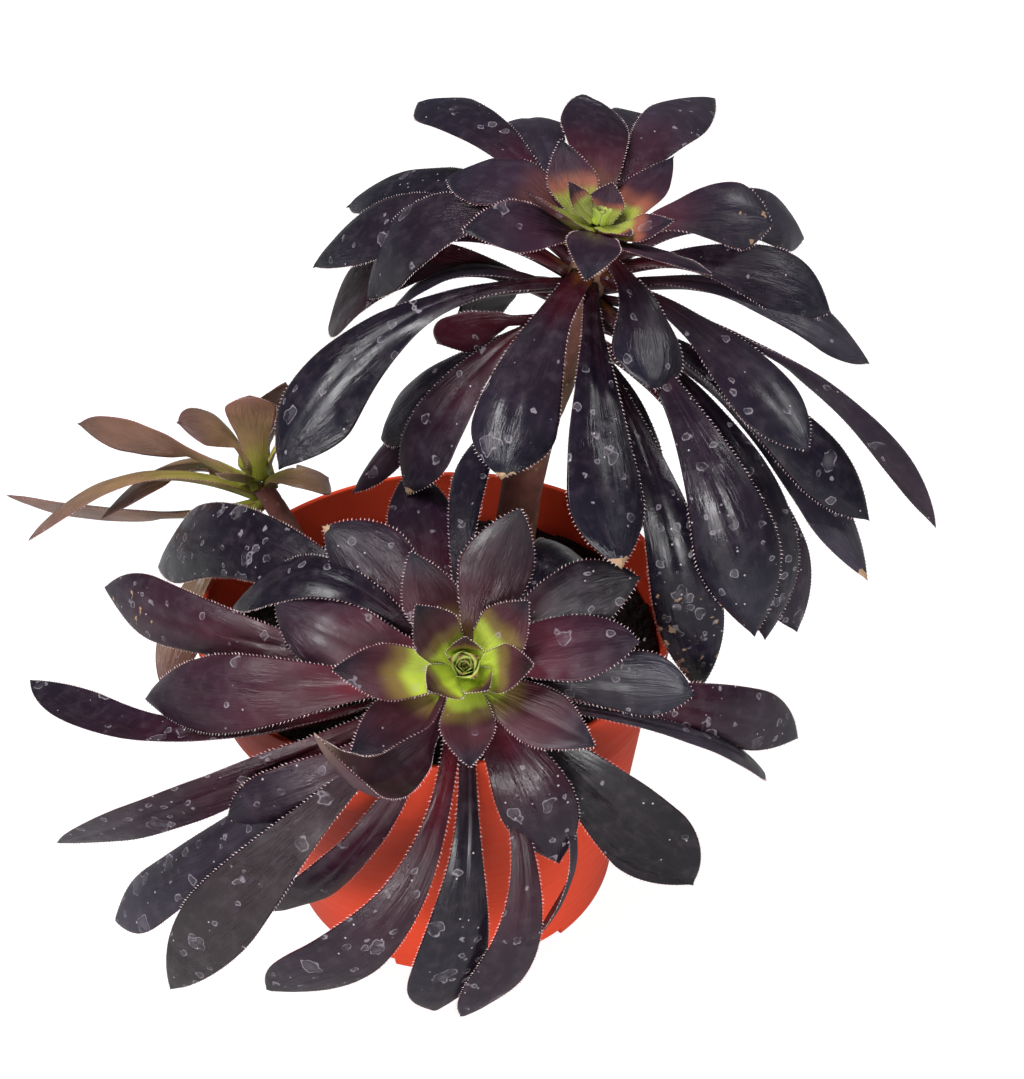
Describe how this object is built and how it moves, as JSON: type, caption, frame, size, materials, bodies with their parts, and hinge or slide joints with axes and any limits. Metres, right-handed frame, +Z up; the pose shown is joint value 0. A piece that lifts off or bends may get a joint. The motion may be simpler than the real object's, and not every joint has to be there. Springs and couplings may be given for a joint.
{
  "type": "potted aeonium",
  "caption": "Potted aeonium with dark, toothed leaves in rosettes on bare stems, growing over the rim of a round tapered plastic grower's pot.",
  "frame": {"origin": "centre of the pot's underside, on the surface it stands on", "axes": "+Z up along the pot's axis; -Y towards the low front rosette; +X towards the side the tall stem leans to"},
  "size_m": [0.24, 0.1865, 0.1927],
  "materials": {
    "pot": "satin",
    "soil": "matte",
    "stem": "matte",
    "crown": "satin",
    "leaf": "satin",
    "side_leaf": "satin"
  },
  "bodies": {
    "root": {"pot": "pot", "soil": "soil", "top_crown": "crown", "top_leaf_back": "leaf", "top_leaf_back_left": "leaf", "top_leaf_back_left_low": "leaf", "top_leaf_back_right": "leaf", "top_leaf_front_broad": "leaf", "top_leaf_front_dark": "leaf", "top_leaf_front_folded": "leaf", "top_leaf_front_hanging": "leaf", "top_leaf_front_left": "leaf", "top_leaf_front_middle": "leaf", "top_leaf_front_right": "leaf", "top_leaf_front_short": "leaf", "top_leaf_inner_left": "leaf", "top_leaf_left_back": "leaf", "top_leaf_left_curved": "leaf", "top_leaf_left_longest": "leaf", "top_leaf_left_outer": "leaf", "top_leaf_left_purple": "leaf", "top_leaf_left_under": "leaf", "top_leaf_right_behind": "leaf", "top_leaf_right_drooping": "leaf", "top_leaf_right_edge_on": "leaf", "top_leaf_right_hanging": "leaf", "top_leaf_right_long": "leaf", "top_leaf_right_low": "leaf", "top_leaf_right_upper": "leaf", "top_stem": "stem", "front_crown": "crown", "front_leaf_back_folded": "leaf", "front_leaf_back_pale": "leaf", "front_leaf_front_left_long": "leaf", "front_leaf_front_left_low": "leaf", "front_leaf_front_long": "leaf", "front_leaf_front_narrow": "leaf", "front_leaf_front_right": "leaf", "front_leaf_front_short": "leaf", "front_leaf_left_behind": "leaf", "front_leaf_left_boat": "leaf", "front_leaf_left_broad": "leaf", "front_leaf_left_curled": "leaf", "front_leaf_left_inner": "leaf", "front_leaf_left_lance": "leaf", "front_leaf_left_pale": "leaf", "front_leaf_left_round": "leaf", "front_leaf_left_upper": "leaf", "front_leaf_right_dark": "leaf", "front_leaf_right_flat": "leaf", "front_leaf_right_inner": "leaf", "front_leaf_right_long": "leaf", "front_stem": "stem", "side_crown": "crown", "side_leaf_back": "side_leaf", "side_leaf_brown": "side_leaf", "side_leaf_drooping": "side_leaf", "side_leaf_long": "side_leaf", "side_leaf_upright": "side_leaf", "side_stem": "stem"}
  },
  "joints": []
}
